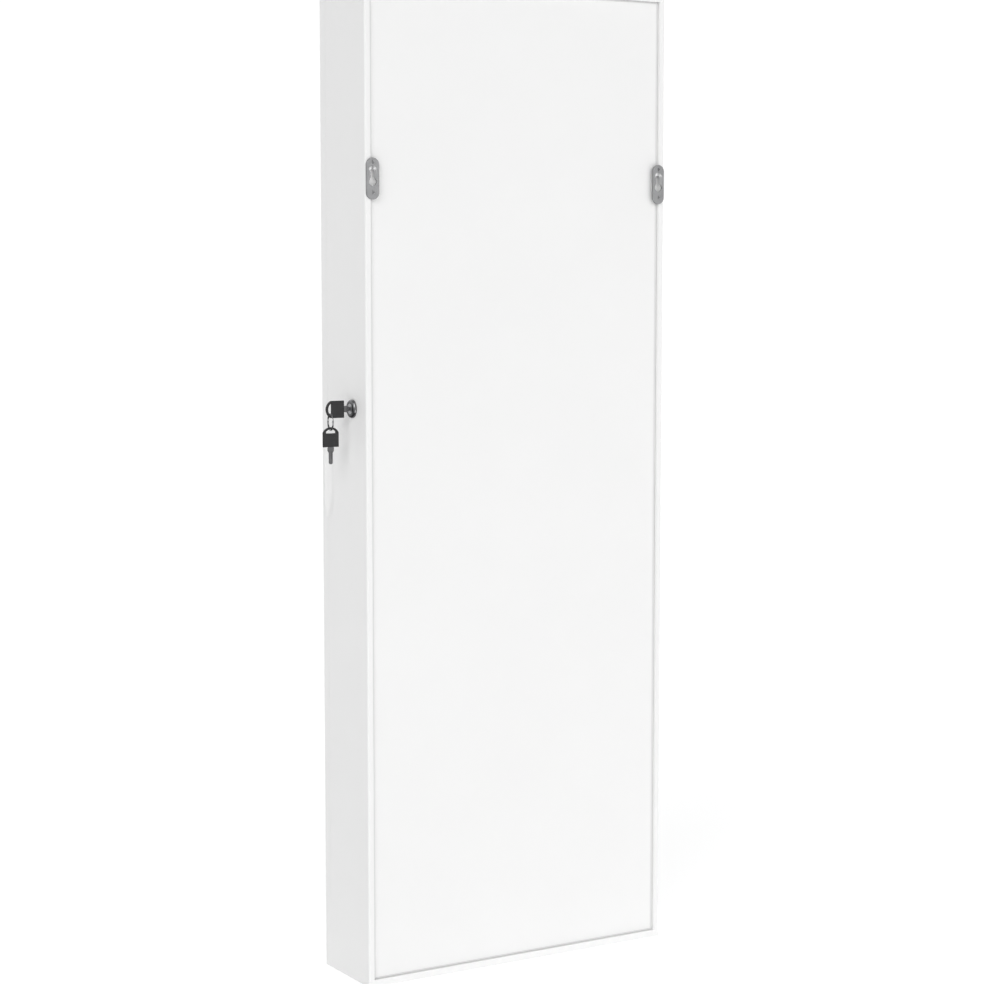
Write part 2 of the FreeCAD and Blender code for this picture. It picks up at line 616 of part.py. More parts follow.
def key(prefix, x, y, z, rotation):
    """Key head and blade. Local +X runs from the blade to the head's rounded end."""
    head = new_body(prefix + "_head_body", x, y, z, rotation)
    sk = sketch_on(head, prefix + "_head_outline", "XZ_Plane")
    reach = S.head_mid + math.sqrt(10 ** 2 - 9 ** 2)
    outline(sk, [(0, -S.head_half), (reach, -S.head_half, "arc", S.head_mid, 0, 1), (reach, S.head_half),
                 (0, S.head_half)])
    block = pad(head, sk, S.head_thk, prefix + "_head_pad", midplane=True)
    doc.recompute()
    # soft moulded edges round both faces of the head
    edges = []
    for i, edge in enumerate(block.Shape.Edges, start=1):
        box_ = edge.BoundBox
        if box_.YLength < 1e-6:
            edges.append("Edge%d" % i)
    soft = head.newObject("PartDesign::Fillet", prefix + "_head_soft")
    soft.Base = (block, edges)
    soft.Radius = 0.6
    head.Tip = soft
    sk = sketch_on(head, prefix + "_head_slot", "XZ_Plane")
    slot_x = S.head_mid + math.sqrt(8 ** 2 - 6 ** 2)
    outline(sk, [(S.head_slot_in, -S.head_slot_half), (slot_x, -S.head_slot_half, "arc", S.head_mid, 0, 1),
                 (slot_x, S.head_slot_half), (S.head_slot_in, S.head_slot_half)])
    pocket(head, sk, 10, prefix + "_head_slot_cut", midplane=True)
    sk = sketch_on(head, prefix + "_head_socket", "XZ_Plane")
    outline(sk, [(-0.5, -3.02), (7.05, -3.02), (7.05, 3.02), (-0.5, 3.02)])
    pocket(head, sk, S.blade_thk + 0.04, prefix + "_head_socket_cut", midplane=True)
    node(head, prefix + "_head")
    blade = new_body(prefix + "_blade_body", x, y, z, rotation)
    sk = sketch_on(blade, prefix + "_blade_outline", "XZ_Plane")
    n, b = S.neck_half, S.blade_half
    tip = -(S.neck_long + S.blade_long)
    outline(sk, [(7, -3), (7, 3), (0, 3), (-1.2, n), (-3.8, n), (-S.neck_long, b), (tip + b, b, "arc", tip + b, 0, 1),
                 (tip + b, -b), (-S.neck_long, -b), (-3.8, -n), (-1.2, -n), (0, -3)])
    pad(blade, sk, S.blade_thk, prefix + "_blade_pad", midplane=True)
    # groove along the blade on the face towards the back of the cabinet
    sk = sketch_on(blade, prefix + "_blade_groove", "XZ_Plane", -(S.blade_thk / 2))
    outline(sk, [(tip + 3.5, -0.45), (-3.2, -0.45), (-3.2, 0.45), (tip + 3.5, 0.45)])
    pocket(blade, sk, 0.45, prefix + "_blade_groove_cut", backwards=True)
    node(blade, prefix + "_blade")


key("key", KEY_X, S.lock_y, S.lock_z, Rotation())
RING_X = KEY_X + S.head_slot_in + 1.2
BAR_Z = S.lock_z - (S.head_half + S.head_slot_half) / 2      # middle of the bar the ring hangs on
RING_Z = BAR_Z + S.ring_lift - S.ring_in
ring = new_body("key_ring_body", RING_X, S.lock_y, RING_Z, Rotation(Vector(0, 0, 1), -S.ring_turn.value))
sk = sketch_on(ring, "key_ring_profile", "XY_Plane")
w = S.ring_wide / 2
# two coils of flat wire lying side by side
outline(sk, [(-w, S.ring_in), (-0.1, S.ring_in), (0, S.ring_in + 0.25), (0.1, S.ring_in), (w, S.ring_in),
             (w, S.ring_out), (0.1, S.ring_out), (0, S.ring_out - 0.25), (-0.1, S.ring_out), (-w, S.ring_out)])
revolve(ring, sk, "H_Axis", "key_ring_turned")
node(ring, "key_ring")
SPARE_Z = RING_Z - S.ring_in + S.spare_gap - S.head_mid - S.head_slot_arc
key("spare_key", RING_X, S.lock_y, SPARE_Z, Rotation(Vector(0, 1, 0), -90))

# ---------------------------------------------------------------- magnetic catch
catch = box("catch_housing_blank", (161.3, XI - 0.1), (-35.5, -17.5), (745, 785))
magnet_room = box("catch_magnet_room", (163.95, 173.05), (-36, -25.9), (751.95, 778.05))
catch_tools, catch_screws = [magnet_room], []
for k, z in enumerate((749.5, 780.5)):
    head = (161.3, -21.5, z)
    catch_screws.append(screw("catch_screw_%d" % k, head, "+x", 2.6, 1.4, 1.4, 22))
    hole = sink("catch_screw_%d" % k, head, "+x", 2.6, 1.4, 1.4, 22)
    catch_tools.append(hole)
    spaces["right"].append(hole)
node(cut("catch_housing", catch, catch_tools), "catch_housing")
node(box("catch_magnet", (164, 173), (-36.5, -26), (752, 778)), "catch_magnet")
node(bundle("catch_screws", catch_screws), "catch_screws")
plate = box("catch_plate_blank", (162, 174.5), (DOOR_BACK, DOOR_BACK + 1.1), (750, 780))
head = (168.5, DOOR_BACK + 1.1, 765)
hole = sink("catch_plate_screw", head, "-y", 2.4, 1.1, 1.3, 9)
spaces["stile_right"].append(hole)
node(cut("catch_plate", plate, [hole]), "catch_plate")
node(screw("catch_plate_screw", head, "-y", 2.4, 1.1, 1.3, 9), "catch_plate_screw")

# ---------------------------------------------------------------- door
SIGHT_X = HW - S.stile_wide                      # edge of the mirror's free opening
REBATE_X = SIGHT_X + S.lip_over
LIP_BACK = YF + S.lip_thk
MIRROR_BACK = LIP_BACK + S.mirror_thk
door_dowels = []
for side, sgn in SIDES:
    way = "+x" if sgn > 0 else "-x"
    spaces["stile_" + side].append(box("stile_rebate_" + side, (sgn * (SIGHT_X - 1), sgn * REBATE_X),
                                       (LIP_BACK, DOOR_BACK + 1),
                                       (S.stile_wide - S.lip_over, TOP - S.stile_wide + S.lip_over)))
    for end, heights in (("bottom", (as_dim(8), as_dim(19.5))), ("top", (TOP - 8, TOP - 19.5))):
        for k, z in enumerate(heights):
            tag = "door_dowel_%s_%s_%d" % (side, end, k)
            y = YF + S.door_thk / 2
            door_dowels.append(rod(tag, S.dowel_rad, 30, (sgn * (SIGHT_X - 15), y, z), way))
            hole = rod(tag + "_hole", S.dowel_rad + 0.02, 30.4, (sgn * (SIGHT_X - 15.2), y, z), way)
            spaces["stile_" + side].append(hole)
            spaces["rail_" + end].append(hole)
node(bundle("door_dowels", door_dowels), "door_dowels")
for end, edge, inner in (("bottom", as_dim(0), 1), ("top", TOP, -1)):
    spaces["rail_" + end].append(box("rail_rebate_" + end, (-SIGHT_X - 1, SIGHT_X + 1), (LIP_BACK, DOOR_BACK + 1),
                                     (edge + inner * (S.stile_wide - S.lip_over), edge + inner * (S.stile_wide + 1))))
    blank = box("door_rail_%s_blank" % end, (-SIGHT_X, SIGHT_X), (YF, DOOR_BACK), (edge, edge + inner * S.stile_wide))
    node(cut("door_rail_" + end, blank, spaces["rail_" + end]), "door_rail_" + end)
for side, sgn in SIDES:
    blank = box("door_stile_%s_blank" % side, (sgn * SIGHT_X, sgn * HW), (YF, DOOR_BACK), (0, TOP))
    node(cut("door_stile_" + side, blank, spaces["stile_" + side]), "door_stile_" + side)
MX = REBATE_X - S.mirror_play
MZ = S.stile_wide - S.lip_over + S.mirror_play
node(box("mirror_glass", (-MX, MX), (LIP_BACK, MIRROR_BACK), (MZ, TOP - MZ)), "mirror_glass")
node(box("mirror_backing", (-MX, MX), (MIRROR_BACK, MIRROR_BACK + 3), (MZ, TOP - MZ)), "mirror_backing")
node(box("door_lining", (-MX, MX), (MIRROR_BACK + 3, MIRROR_BACK + 4), (MZ, TOP - MZ)), "door_lining")

# ---------------------------------------------------------------- inside fittings
shelf_pins = []
for name, z in (("upper", S.shelf_upper_z), ("middle", S.shelf_middle_z), ("lower", S.shelf_lower_z)):
    node(box("shelf_" + name, (-XI + 0.3, XI - 0.3), (-33, LINING_IN - 0.2), (z, z + S.shelf_thk)), "shelf_" + name)
    for side, sgn in SIDES:
        way = "+x" if sgn > 0 else "-x"
        for k, y in enumerate((-22, 32)):
            tag = "shelf_pin_%s_%s_%d" % (name, side, k)
            shelf_pins.append(rod(tag, 2.5, 14, (sgn * (XI - 8), y, z - 2.55), way))
            spaces[side].append(rod(tag + "_hole", 2.53, 14.3, (sgn * (XI - 8), y, z - 2.55), way))
node(bundle("shelf_pins", shelf_pins), "shelf_pins")

for name, z in (("upper", S.shelf_upper_z + S.shelf_thk), ("middle", S.shelf_middle_z + S.shelf_thk),
                ("lower", S.shelf_lower_z + S.shelf_thk), ("bottom", S.board_thk)):
    label = "guard_rail_" + name
    height = z + S.rail_up
    node(rod(label, S.rail_rad, 2 * (XI + 4), (-XI - 4, S.rail_y, height), "+x"), label)
    hole = rod(label + "_holes", S.rail_rad + 0.03, 2 * (XI + 4.3), (-XI - 4.3, S.rail_y, height), "+x")
    spaces["left"].append(hole)
    spaces["right"].append(hole)

node(box("divider", (-3, 3), (-25, LINING_IN - 0.2), (S.shelf_lower_z + S.shelf_thk + 0.05, S.shelf_middle_z - 0.05)),
     "divider")

node(rod("bracelet_bar", S.bar_rad, 2 * (XI + 5), (-XI - 5, S.bar_y, S.bar_z), "+x"), "bracelet_bar")
hole = rod("bracelet_bar_holes", S.bar_rad + 0.04, 2 * (XI + 5.3), (-XI - 5.3, S.bar_y, S.bar_z), "+x")
spaces["left"].append(hole)
spaces["right"].append(hole)
sleeve = rod("bracelet_sleeve_blank", S.sleeve_rad, 2 * S.sleeve_half, (-S.sleeve_half, S.bar_y, S.bar_z), "+x")
core = rod("bracelet_sleeve_core", S.bar_rad + 0.03, 2 * S.sleeve_half + 4, (-S.sleeve_half - 2, S.bar_y, S.bar_z), "+x")
node(cut("bracelet_sleeve", sleeve, [core]), "bracelet_sleeve")

# necklace hooks on a rail below the top
HOOK_Z = as_dim(1010)
rail = box("hook_rail_blank", (-165, 0), (LINING_IN - 12, LINING_IN), (1000, 1024))
hooks, peg_holes = [], []
for i in range(6):
    x = -82.5 + (i - 2.5) * S.hook_pitch
    face = LINING_IN - 12
    tag = "necklace_hook_%d" % i
    pieces = [
        rod(tag + "_peg", 1.5, 8, (x, face - 0.2, HOOK_Z), "+y"),
        rod(tag + "_flange", 4.5, 1.2, (x, face, HOOK_Z), "-y"),
        rod(tag + "_stem", S.hook_rad, 12, (x, face - 1, HOOK_Z), "-y"),
        rod(tag + "_rise", S.hook_rad, 4, (x, face - 18, HOOK_Z + 5), "+z"),
    ]
    bend = doc.addObject("Part::Torus", tag + "_bend")
    bind(bend, "Radius1", 5)
    bind(bend, "Radius2", S.hook_rad)
    bend.Angle3 = 90
    put(bend, x, face - 13, HOOK_Z + 5, Rotation(Vector(0, -1, 0), Vector(0, 0, -1), Vector(1, 0, 0), "XYZ"))
    tip = doc.addObject("Part::Sphere", tag + "_tip")
    bind(tip, "Radius", 2.2)
    put(tip, x, face - 18, HOOK_Z + 9.6)
    hooks.append(fuse(tag, pieces + [bend, tip]))
    peg_holes.append(rod(tag + "_hole", 1.53, 8.3, (x, face - 0.5, HOOK_Z), "+y"))
node(cut("hook_rail", rail, peg_holes), "hook_rail")
node(bundle("necklace_hooks", hooks), "necklace_hooks")

# perforated board for earrings, standing off the lining on four posts
board = new_body("earring_panel_body", 92.5, 38, 852.5)
sk = sketch_on(board, "earring_panel_outline", "XZ_Plane")
outline(sk, [(-72.5, -132.5), (72.5, -132.5), (72.5, 132.5), (-72.5, 132.5)])
pad(board, sk, 2, "earring_panel_pad")
sk = sketch_on(board, "earring_panel_hole", "XZ_Plane")
circle(sk, -58, -116, 1.25)
first = pocket(board, sk, 10, "earring_panel_hole_cut", midplane=True)
doc.recompute()
multi = board.newObject("PartDesign::MultiTransform", "earring_panel_grid")
multi.Originals = [first]
across = doc.addObject("PartDesign::LinearPattern", "earring_panel_across")
across.Direction = (sk, ["H_Axis"])
across.Length = 116
across.Occurrences = 10
upwards = doc.addObject("PartDesign::LinearPattern", "earring_panel_up")
upwards.Direction = (sk, ["V_Axis"])
upwards.Length = 232
upwards.Occurrences = 9
multi.Transformations = [across, upwards]
board.Tip = multi
node(board, "earring_panel")
posts = []
for k, (x, z) in enumerate(((26, 727), (159, 727), (26, 978), (159, 978))):
    posts.append(rod("earring_post_%d" % k, 4, LINING_IN - 38, (x, 38, z), "+y"))
node(bundle("earring_posts", posts), "earring_posts")

cushion = new_body("ring_cushion_body", -94, 10, S.shelf_upper_z + S.shelf_thk + 0.05)
sk = sketch_on(cushion, "ring_cushion_outline", "XY_Plane")
outline(sk, [(-72, -28), (72, -28), (72, 28), (-72, 28)])
block = pad(cushion, sk, 26, "ring_cushion_pad")
doc.recompute()
edges = ["Edge%d" % i for i, edge in enumerate(block.Shape.Edges, start=1)
         if edge.BoundBox.ZMax - block.Shape.BoundBox.ZMin > 1]
soft = cushion.newObject("PartDesign::Fillet", "ring_cushion_soft")
soft.Base = (block, edges)
soft.Radius = 6
cushion.Tip = soft
node(cushion, "ring_cushion")

# ---------------------------------------------------------------- boards, cut last
node(box("back_lining", (-XI + 0.2, XI - 0.2), (LINING_IN, BACK_IN), (S.board_thk + 0.2, TOP - S.board_thk - 0.2)),
     "back_lining")
back_x = HW - S.rim_side - S.back_play
blank = box("back_panel_blank", (-back_x, back_x), (BACK_IN, BACK_OUT),
            (S.rim_end + S.back_play, TOP - S.rim_end - S.back_play))
node(cut("back_panel", blank, spaces["back"]), "back_panel")
for end, edge, inner in (("bottom", as_dim(0), 1), ("top", TOP, -1)):
    blank = box("%s_panel_blank" % end, (-XI, XI), (CASE_FRONT, YB), (edge, edge + inner * S.board_thk))
    node(cut(end + "_panel", blank, spaces[end]), end + "_panel")
for side, sgn in SIDES:
    blank = box("side_panel_%s_blank" % side, (sgn * XI, sgn * HW), (CASE_FRONT, YB), (0, TOP))
    doc.recompute()
    outer = [i for i, edge in enumerate(blank.Shape.Edges, start=1)
             if edge.BoundBox.ZLength > 100 and abs(edge.BoundBox.XMin) > HW.value - 0.1 and edge.BoundBox.YMin > YB.value - 0.1]
    soft = doc.addObject("Part::Fillet", "side_panel_%s_soft" % side)
    soft.Base = blank
    soft.Edges = [(i, S.edge_round.value, S.edge_round.value) for i in outer]
    node(cut("side_panel_" + side, soft, spaces[side]), "side_panel_" + side)

doc.recompute()

# ---------------------------------------------------------------- checks and files
for obj in doc.Objects:
    if "Invalid" in obj.State or "Error" in obj.State:
        raise RuntimeError("%s failed: %s" % (obj.Name, obj.State))
labels = [obj.Label for obj in nodes]
if len(set(labels)) != len(labels):
    raise RuntimeError("two pieces share a name")
os.makedirs("parts", exist_ok=True)
for obj in nodes:
    shape = obj.Shape
    if shape.isNull() or not shape.isValid() or not shape.Solids:
        raise RuntimeError("bad shape: " + obj.Label)
for obj in nodes:
    obj.Shape.exportStep(os.path.join("parts", obj.Label + ".step"))
    box_ = obj.Shape.BoundBox
    print("%-26s %2d solids %10.1f mm3  x %7.2f %7.2f  y %7.2f %7.2f  z %7.2f %7.2f" % (
        obj.Label, len(obj.Shape.Solids), obj.Shape.Volume, box_.XMin, box_.XMax, box_.YMin, box_.YMax,
        box_.ZMin, box_.ZMax))
print(len(nodes), "pieces")
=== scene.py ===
import json
import math

import bpy
import bmesh
from mathutils import Matrix, Vector, noise


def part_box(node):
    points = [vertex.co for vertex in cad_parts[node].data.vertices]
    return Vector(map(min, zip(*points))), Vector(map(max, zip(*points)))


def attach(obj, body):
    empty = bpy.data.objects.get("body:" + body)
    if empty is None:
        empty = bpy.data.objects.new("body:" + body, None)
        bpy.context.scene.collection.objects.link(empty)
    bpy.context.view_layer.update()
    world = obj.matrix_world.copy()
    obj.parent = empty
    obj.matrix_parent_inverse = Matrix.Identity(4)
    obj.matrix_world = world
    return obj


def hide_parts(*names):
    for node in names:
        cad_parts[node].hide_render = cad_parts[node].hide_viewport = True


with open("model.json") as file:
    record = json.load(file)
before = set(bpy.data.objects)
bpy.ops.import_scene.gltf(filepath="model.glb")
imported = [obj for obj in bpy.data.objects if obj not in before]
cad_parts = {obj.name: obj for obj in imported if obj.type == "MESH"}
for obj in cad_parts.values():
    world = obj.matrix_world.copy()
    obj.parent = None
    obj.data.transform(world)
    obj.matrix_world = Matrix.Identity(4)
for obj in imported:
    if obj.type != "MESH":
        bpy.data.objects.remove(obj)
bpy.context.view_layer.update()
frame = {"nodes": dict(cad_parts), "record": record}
NODES = frame["nodes"]
scene = bpy.context.scene


# ------------------------------------------------------------------ node trees
class Tree:
    """Short names for the shader nodes that the materials use."""

    def __init__(self, name):
        self.material = bpy.data.materials.new(name)
        self.material.use_nodes = True
        self.tree = self.material.node_tree
        self.tree.nodes.clear()
        self.out = self.tree.nodes.new("ShaderNodeOutputMaterial")
        self.shader = self.tree.nodes.new("ShaderNodeBsdfPrincipled")
        self.link(self.shader.outputs[0], self.out.inputs[0])
        self.place = self.tree.nodes.new("ShaderNodeTexCoord").outputs["Object"]

    def link(self, a, b):
        self.tree.links.new(a, b)

    def feed(self, socket, value):
        if isinstance(value, bpy.types.NodeSocket):
            self.link(value, socket)
        else:
            socket.default_value = value

    def node(self, kind, **settings):
        n = self.tree.nodes.new(kind)
        for key, value in settings.items():
            setattr(n, key, value)
        return n

    def stretch(self, x, y, z, source=None):
        n = self.node("ShaderNodeMapping")
        self.feed(n.inputs["Vector"], source or self.place)
        n.inputs["Scale"].default_value = (x, y, z)
        return n.outputs[0]

    def noise(self, scale, detail=3.0, rough=0.55, source=None, distortion=0.0):
        n = self.node("ShaderNodeTexNoise")
        self.feed(n.inputs["Vector"], source or self.place)
        n.inputs["Scale"].default_value = scale
        n.inputs["Detail"].default_value = detail
        n.inputs["Roughness"].default_value = rough
        n.inputs["Distortion"].default_value = distortion
        return n.outputs["Fac"]

    def cells(self, scale, feature="F1", source=None, output="Distance"):
        n = self.node("ShaderNodeTexVoronoi", feature=feature)
        self.feed(n.inputs["Vector"], source or self.place)
        n.inputs["Scale"].default_value = scale
        return n.outputs[output]

    def span(self, value, lo, hi, new_lo, new_hi, smooth=False):
        n = self.node("ShaderNodeMapRange")
        if smooth:
            n.interpolation_type = "SMOOTHSTEP"
        self.feed(n.inputs["Value"], value)
        for key, v in (("From Min", lo), ("From Max", hi), ("To Min", new_lo), ("To Max", new_hi)):
            n.inputs[key].default_value = v
        return n.outputs["Result"]

    def ramp(self, value, stops):
        n = self.node("ShaderNodeValToRGB")
        self.feed(n.inputs["Fac"], value)
        bar = n.color_ramp
        while len(bar.elements) < len(stops):
            bar.elements.new(0.5)
        for element, (at, colour) in zip(bar.elements, stops):
            element.position = at
            element.color = (*colour, 1.0)
        return n.outputs["Color"]

    def mix(self, factor, a, b, kind="MIX"):
        n = self.node("ShaderNodeMix", data_type="RGBA", blend_type=kind)
        self.feed(n.inputs["Factor"], factor)
        for socket, value in ((n.inputs[6], a), (n.inputs[7], b)):
            if isinstance(value, tuple) and len(value) == 3:
                value = (*value, 1.0)
            self.feed(socket, value)
        return n.outputs[2]

    def math(self, operation, a, b=0.0):
        n = self.node("ShaderNodeMath", operation=operation)
        self.feed(n.inputs[0], a)
        self.feed(n.inputs[1], b)
        return n.outputs[0]

    def split(self, source=None):
        n = self.node("ShaderNodeSeparateXYZ")
        self.feed(n.inputs[0], source or self.place)
        return n.outputs

    def bump(self, height, strength, distance, under=None):
        n = self.node("ShaderNodeBump")
        self.feed(n.inputs["Height"], height)
        n.inputs["Strength"].default_value = strength
        n.inputs["Distance"].default_value = distance
        if under is not None:
            self.feed(n.inputs["Normal"], under)
        return n.outputs[0]

    def set(self, **values):
        names = {"colour": "Base Color", "metal": "Metallic", "rough": "Roughness", "normal": "Normal",
                 "sheen": "Sheen Weight", "sheen_rough": "Sheen Roughness", "sheen_tint": "Sheen Tint",
                 "coat": "Coat Weight", "coat_rough": "Coat Roughness", "ior": "IOR",
                 "specular": "Specular IOR Level", "aniso": "Anisotropic"}
        for key, value in values.items():
            if isinstance(value, tuple) and len(value) == 3:
                value = (*value, 1.0)
            self.feed(self.shader.inputs[names[key]], value)
        return self.material


# ------------------------------------------------------------------ materials
def board_finish(name, tone, rough, fibre=0.0, specular=0.32):
    """Satin white foil on fibreboard: soft mottling, a fine pressed grain and small level changes."""
    t = Tree(name)
    cloud = t.noise(7.0, 4.0, 0.6)
    speck = t.noise(900.0, 2.0, 0.5)
    light = tuple(min(1.0, c * 1.006) for c in tone)
    dark = tuple(c * 0.988 for c in tone)
    base = t.mix(t.span(cloud, 0.3, 0.7, 0.0, 1.0), dark, light)
    base = t.mix(t.span(speck, 0.62, 0.8, 0.0, 0.10), base, tuple(c * 0.9 for c in tone))
    peel = t.noise(1500.0, 2.0, 0.5)
    grain = t.noise(240.0, 3.0, 0.6, source=t.stretch(1.0, 1.0, 0.12))
    height = t.math("ADD", t.math("MULTIPLY", peel, 0.6), t.math("MULTIPLY", grain, 0.4 + fibre))
    return t.set(colour=base, rough=t.span(t.noise(60.0, 3.0), 0.3, 0.7, rough - 0.05, rough + 0.06),
                 normal=t.bump(height, 0.16, 0.00012), specular=specular)


def sheet_finish(name, tone, rough, half_wide, low, high, side_shade_band, end_shade_band):
    """The inset sheet: as the boards, with a band of painted shade along its edges, where the recess at the rim shades
    it.
    """
    t = Tree(name)
    x, y, z = t.split()[:3]
    across = t.math("SUBTRACT", half_wide, t.math("ABSOLUTE", x))
    along = t.math("MINIMUM", t.math("SUBTRACT", z, low), t.math("SUBTRACT", high, z))
    wander = t.math("MULTIPLY", t.noise(35.0, 2.0), 0.0002)
    # painted shade: a darker band along the sides and ends of the sheet, standing in for the shadow of the recess at
    # the rim
    painted_side_shade = t.span(t.math("ADD", across, wander), side_shade_band - 0.0002, side_shade_band + 0.0006, 1.0, 0.0, smooth=True)
    end = t.span(t.math("ADD", along, wander), end_shade_band - 0.0002, end_shade_band + 0.0006, 1.0, 0.0, smooth=True)
    # painted light: behind the hanger plates the sheet is painted a brighter white, so the keyholes look lit through
    up = t.math("MULTIPLY", t.span(z, 0.8335, 0.8340, 0.0, 1.0), t.span(z, 0.8735, 0.8740, 1.0, 0.0))
    keyhole_painted_light = t.math("MULTIPLY", up, t.span(t.math("ABSOLUTE", x), 0.1722, 0.1727, 0.0, 1.0))
    edge = t.math("MULTIPLY", t.math("MAXIMUM", painted_side_shade, end), t.math("SUBTRACT", 1.0, keyhole_painted_light))
    cloud = t.noise(7.0, 4.0, 0.6)
    base = t.mix(t.span(cloud, 0.3, 0.7, 0.0, 1.0), tuple(c * 0.990 for c in tone), tuple(min(1.0, c * 1.005) for c in tone))
    # painted shade: the band along the edges is darkened to 0.84 of the tone
    base = t.mix(edge, base, tuple(c * 0.84 for c in tone))
    # painted light: brighter white on the sheet behind the hanger keyholes
    base = t.mix(keyhole_painted_light, base, (0.975, 0.975, 0.975))
    peel = t.noise(1500.0, 2.0, 0.5)
    grain = t.noise(240.0, 3.0, 0.6, source=t.stretch(1.0, 1.0, 0.12))
    height = t.math("ADD", t.math("MULTIPLY", peel, 0.6), t.math("MULTIPLY", grain, 0.7))
    return t.set(colour=base, rough=t.span(t.noise(60.0, 3.0), 0.3, 0.7, rough - 0.05, rough + 0.06),
                 normal=t.bump(height, 0.16, 0.00012), specular=0.12)


def brushed(name, tone, rough, along=(1.0, 1.0, 0.02), spread=0.12, depth=0.25, metal=1.0):
    """Plated steel: fine lines one way, cloudy plating and a few small pits."""
    t = Tree(name)
    lines = t.noise(4200.0, 3.0, 0.6, source=t.stretch(*along))
    cloud = t.noise(90.0, 4.0, 0.65)
    pits = t.cells(650.0)
    base = t.mix(t.span(cloud, 0.3, 0.7, 0.0, 1.0), tuple(c * (1 - spread) for c in tone),
                 tuple(min(1.0, c * (1 + spread)) for c in tone))
    base = t.mix(t.span(pits, 0.0, 0.16, 0.35, 0.0), base, tuple(c * 0.55 for c in tone))
    level = t.math("ADD", t.math("MULTIPLY", lines, 0.7), t.math("MULTIPLY", cloud, 0.3))
    return t.set(colour=base, metal=metal, rough=t.span(level, 0.3, 0.7, rough - 0.07, rough + 0.09),
                 normal=t.bump(lines, depth, 0.00004))


def bright_chrome(name, tone, rough):
    t = Tree(name)
    smear = t.noise(220.0, 4.0, 0.6, distortion=0.4)
    fine = t.noise(5200.0, 2.0, 0.5)
    base = t.mix(t.span(smear, 0.35, 0.7, 0.0, 1.0), tuple(c * 0.93 for c in tone), tone)
    return t.set(colour=base, metal=1.0, rough=t.span(smear, 0.3, 0.75, rough, rough + 0.09),
                 normal=t.bump(fine, 0.05, 0.00002))


def moulded(name, tone, rough, grain=6500.0, depth=0.35, specular=0.5):
    """Moulded plastic with a spark-eroded texture and faint flow marks."""
    t = Tree(name)
    texture = t.noise(grain, 2.0, 0.5)
    flow = t.noise(75.0, 3.0, 0.6, distortion=0.8)
    base = t.mix(t.span(flow, 0.3, 0.7, 0.0, 1.0), tuple(c * 0.9 for c in tone), tuple(min(1.0, c * 1.08) for c in tone))
    return t.set(colour=base, rough=t.span(texture, 0.3, 0.7, rough - 0.06, rough + 0.08),
                 normal=t.bump(texture, depth, 0.00006), specular=specular)


def velvet_finish(name, tone, shade):
    """Flocked cloth: short fibres, and nap that lies one way here and another there."""
    t = Tree(name)
    fibre = t.noise(5200.0, 2.0, 0.7)
    tuft = t.noise(1300.0, 3.0, 0.6)
    nap = t.noise(16.0, 4.0, 0.6, distortion=0.9)
    base = t.mix(t.span(nap, 0.35, 0.68, 0.0, 1.0), tone, shade)
    base = t.mix(t.span(fibre, 0.45, 0.75, 0.0, 0.45), base, tuple(c * 1.9 for c in shade))
    height = t.math("ADD", t.math("MULTIPLY", fibre, 0.5), t.math("MULTIPLY", tuft, 0.5))
    return t.set(colour=base, rough=t.span(tuft, 0.3, 0.7, 0.86, 1.0), normal=t.bump(height, 0.5, 0.0003),
                 sheen=0.55, sheen_rough=0.38, sheen_tint=(0.62, 0.62, 0.66), specular=0.2)


def wood_finish(name, light, dark):
    """Beech: long grain with small dark flecks."""
    t = Tree(name)
    rings = t.noise(55.0, 4.0, 0.6, source=t.stretch(0.12, 1.0, 1.0), distortion=1.2)
    fleck = t.noise(900.0, 2.0, 0.5, source=t.stretch(0.15, 1.0, 1.0))
    base = t.mix(t.span(rings, 0.3, 0.7, 0.0, 1.0), light, dark)
    base = t.mix(t.span(fleck, 0.62, 0.75, 0.0, 0.5), base, tuple(c * 0.6 for c in dark))
    return t.set(colour=base, rough=t.span(rings, 0.3, 0.7, 0.5, 0.66), normal=t.bump(fleck, 0.25, 0.00015))


def hardboard_finish(name, light, dark):
    """Brown fibre sheet."""
    t = Tree(name)
    fibre = t.noise(420.0, 5.0, 0.7, distortion=1.5)
    cloud = t.noise(14.0, 3.0, 0.6)
    base = t.mix(t.span(fibre, 0.35, 0.7, 0.0, 1.0), light, dark)
    base = t.mix(t.span(cloud, 0.3, 0.7, 0.0, 0.35), base, tuple(c * 0.8 for c in dark))
    return t.set(colour=base, rough=t.span(fibre, 0.3, 0.7, 0.66, 0.86), normal=t.bump(fibre, 0.3, 0.0002))


def mirror_finish(name):
    """Silvered float glass: hardly any haze, and a very slow waviness."""
    t = Tree(name)
    haze = t.noise(30.0, 4.0, 0.7)
    wave = t.noise(2.2, 1.0, 0.4)
    base = t.mix(t.span(haze, 0.3, 0.7, 0.0, 1.0), (0.90, 0.925, 0.918), (0.925, 0.945, 0.94))
    return t.set(colour=base, metal=1.0, rough=t.span(haze, 0.35, 0.8, 0.012, 0.035),
                 normal=t.bump(wave, 0.04, 0.0008), coat=0.6, coat_rough=0.01)


def ferrite_finish(name):
    t = Tree(name)
    grit = t.noise(2400.0, 3.0, 0.6)
    base = t.mix(t.span(grit, 0.3, 0.7, 0.0, 1.0), (0.035, 0.035, 0.037), (0.075, 0.075, 0.078))
    return t.set(colour=base, metal=0.3, rough=t.span(grit, 0.3, 0.7, 0.5, 0.7), normal=t.bump(grit, 0.35, 0.0001))


